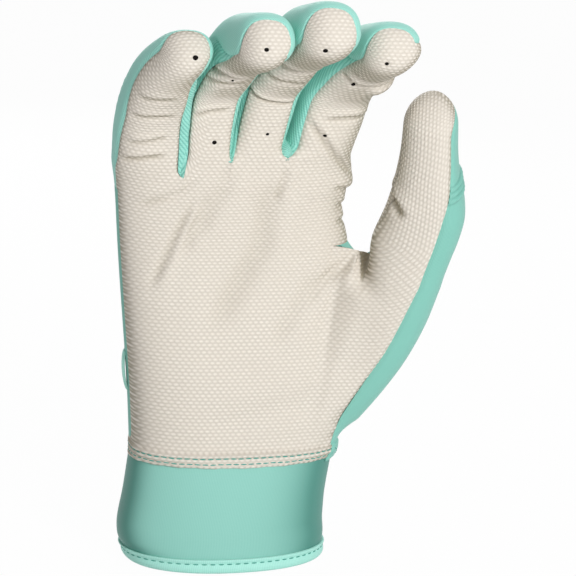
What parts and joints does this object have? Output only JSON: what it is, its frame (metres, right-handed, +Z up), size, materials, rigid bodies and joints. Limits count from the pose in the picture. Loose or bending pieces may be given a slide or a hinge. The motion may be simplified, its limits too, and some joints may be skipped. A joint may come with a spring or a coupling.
{
  "type": "batting glove",
  "caption": "Right-hand batting glove: embossed cream leather palm and finger fronts, mint backs and knit side panels, wrist cuff with a hook-and-loop strap, fingers half curled.",
  "frame": {"origin": "middle of the wrist opening, on the plane of the hem", "axes": "+Z up the hand towards the fingertips, palm faces -Y, thumb on the +X side"},
  "size_m": [0.1295, 0.0925, 0.2166],
  "materials": {
    "leather": "embossed, matte",
    "back": "smooth stretch knit",
    "knit": "ribbed knit",
    "cuff": "satin faced foam",
    "binding": "folded binding tape",
    "hook_loop": "hook and loop pile"
  },
  "bodies": {
    "hand": {"cuff_front": "cuff", "cuff_back_outer": "cuff", "cuff_back_inner": "cuff", "hem_binding": "binding", "wrist_tongue": "knit", "strap_anchor": "cuff", "loop_pad": "hook_loop", "palm_panel": "leather", "backhand_panel": "back", "palm_hem": "leather", "index_middle_web": "knit", "middle_ring_web": "knit", "ring_little_web": "knit", "index_knuckle_insert": "knit", "middle_knuckle_insert": "knit", "ring_knuckle_insert": "knit", "little_knuckle_insert": "knit", "thumb_root_insert": "knit"},
    "strap": {"wrist_strap": "cuff", "hook_pad": "hook_loop", "pull_tab": "binding"},
    "index_lower": {"index_front_lower": "leather", "index_back_lower": "back", "index_outer_side_lower": "knit", "index_joint_insert": "knit"},
    "index_tip": {"index_front_tip": "leather", "index_back_tip": "back", "index_outer_side_tip": "knit"},
    "middle_lower": {"middle_front_lower": "leather", "middle_back_lower": "back", "middle_inner_side_lower": "knit", "middle_outer_side_lower": "knit", "middle_joint_insert": "knit"},
    "middle_tip": {"middle_front_tip": "leather", "middle_back_tip": "back", "middle_inner_side_tip": "knit", "middle_outer_side_tip": "knit"},
    "ring_lower": {"ring_front_lower": "leather", "ring_back_lower": "back", "ring_inner_side_lower": "knit", "ring_outer_side_lower": "knit", "ring_joint_insert": "knit"},
    "ring_tip": {"ring_front_tip": "leather", "ring_back_tip": "back", "ring_inner_side_tip": "knit", "ring_outer_side_tip": "knit"},
    "little_lower": {"little_front_lower": "leather", "little_back_lower": "back", "little_inner_side_lower": "knit", "little_joint_insert": "knit"},
    "little_tip": {"little_front_tip": "leather", "little_back_tip": "back", "little_inner_side_tip": "knit"},
    "thumb_lower": {"thumb_front_lower": "leather", "thumb_back_lower": "back", "thumb_joint_insert": "knit"},
    "thumb_tip": {"thumb_front_tip": "leather", "thumb_back_tip": "back"}
  },
  "joints": [
    {"name": "index_knuckle", "type": "hinge", "parent": "hand", "child": "index_lower", "pos_m": [0.0263, -0.01949, 0.15432], "axis": [1, 0, 0], "range_deg": [-15, 60], "deforming": ["index_knuckle_insert"]},
    {"name": "index_joint", "type": "hinge", "parent": "index_lower", "child": "index_tip", "pos_m": [0.0302, -0.02662, 0.17606], "axis": [1, 0, 0], "range_deg": [-20, 45], "deforming": ["index_joint_insert"]},
    {"name": "middle_knuckle", "type": "hinge", "parent": "hand", "child": "middle_lower", "pos_m": [0.0029, -0.01968, 0.15425], "axis": [1, 0, 0], "range_deg": [-15, 60], "deforming": ["middle_knuckle_insert"]},
    {"name": "middle_joint", "type": "hinge", "parent": "middle_lower", "child": "middle_tip", "pos_m": [0.00696, -0.02739, 0.17786], "axis": [1, 0, 0], "range_deg": [-20, 45], "deforming": ["middle_joint_insert"]},
    {"name": "ring_knuckle", "type": "hinge", "parent": "hand", "child": "ring_lower", "pos_m": [-0.0176, -0.01949, 0.15432], "axis": [1, 0, 0], "range_deg": [-15, 60], "deforming": ["ring_knuckle_insert"]},
    {"name": "ring_joint", "type": "hinge", "parent": "ring_lower", "child": "ring_tip", "pos_m": [-0.01422, -0.02684, 0.17707], "axis": [1, 0, 0], "range_deg": [-20, 45], "deforming": ["ring_joint_insert"]},
    {"name": "little_knuckle", "type": "hinge", "parent": "hand", "child": "little_lower", "pos_m": [-0.0397, -0.01753, 0.14897], "axis": [1, 0, 0], "range_deg": [-15, 60], "deforming": ["little_knuckle_insert"]},
    {"name": "little_joint", "type": "hinge", "parent": "little_lower", "child": "little_tip", "pos_m": [-0.03874, -0.02353, 0.16995], "axis": [1, 0, 0], "range_deg": [-20, 45], "deforming": ["little_joint_insert"]},
    {"name": "thumb_root", "type": "hinge", "parent": "hand", "child": "thumb_lower", "pos_m": [0.05544, -0.03063, 0.11874], "axis": [0.8638, -0.3987, -0.3081], "range_deg": [-15, 6], "deforming": ["thumb_root_insert"]},
    {"name": "thumb_joint", "type": "hinge", "parent": "thumb_lower", "child": "thumb_tip", "pos_m": [0.05818, -0.03716, 0.14154], "axis": [0.9048, -0.4176, -0.083], "range_deg": [-15, 22], "deforming": ["thumb_joint_insert"]},
    {"name": "strap_opening", "type": "hinge", "parent": "hand", "child": "strap", "pos_m": [0.03362, 0.01961, 0.023], "axis": [0, 0, -1], "range_deg": [0, 90]}
  ]
}
